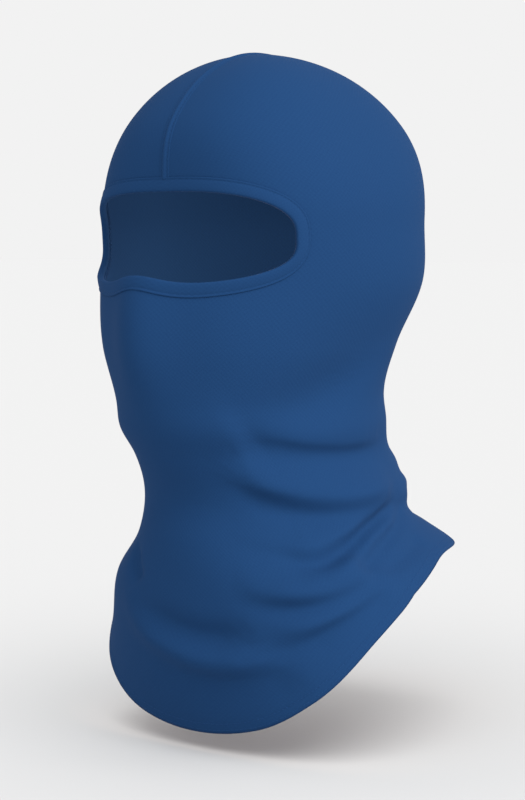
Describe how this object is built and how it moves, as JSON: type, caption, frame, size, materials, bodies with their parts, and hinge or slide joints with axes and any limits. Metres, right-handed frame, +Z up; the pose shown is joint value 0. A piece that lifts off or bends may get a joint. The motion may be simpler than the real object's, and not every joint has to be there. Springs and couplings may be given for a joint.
{
  "type": "balaclava",
  "caption": "Full-head knit balaclava with a bound oval eye opening, centre seam over the crown and a flared neck with a dropped front hem.",
  "frame": {"origin": "inside of the crown, on the middle plane, where the top of the head touches the knit", "axes": "+Z up, -Y the way the face looks, +X to the wearer's left"},
  "size_m": [0.1862, 0.235, 0.3685],
  "materials": {
    "stretch_knit": "smooth matte navy blue polyester and elastane jersey",
    "binding_knit": "the same navy blue jersey, folded over the raw edge",
    "sewing_thread": "textured polyester thread, slightly darker blue",
    "label_tape": "blank pale grey woven satin tape"
  },
  "bodies": {
    "root": {"knit_panel": "stretch_knit", "eye_binding": "binding_knit", "centre_seam_thread_left": "sewing_thread", "centre_seam_thread_right": "sewing_thread", "centre_seam_cover_thread": "sewing_thread", "eye_binding_thread": "sewing_thread", "eye_binding_cover_thread": "sewing_thread", "hem_thread_upper": "sewing_thread", "hem_thread_lower": "sewing_thread", "hem_cover_thread": "sewing_thread", "care_label": "label_tape"}
  },
  "joints": []
}
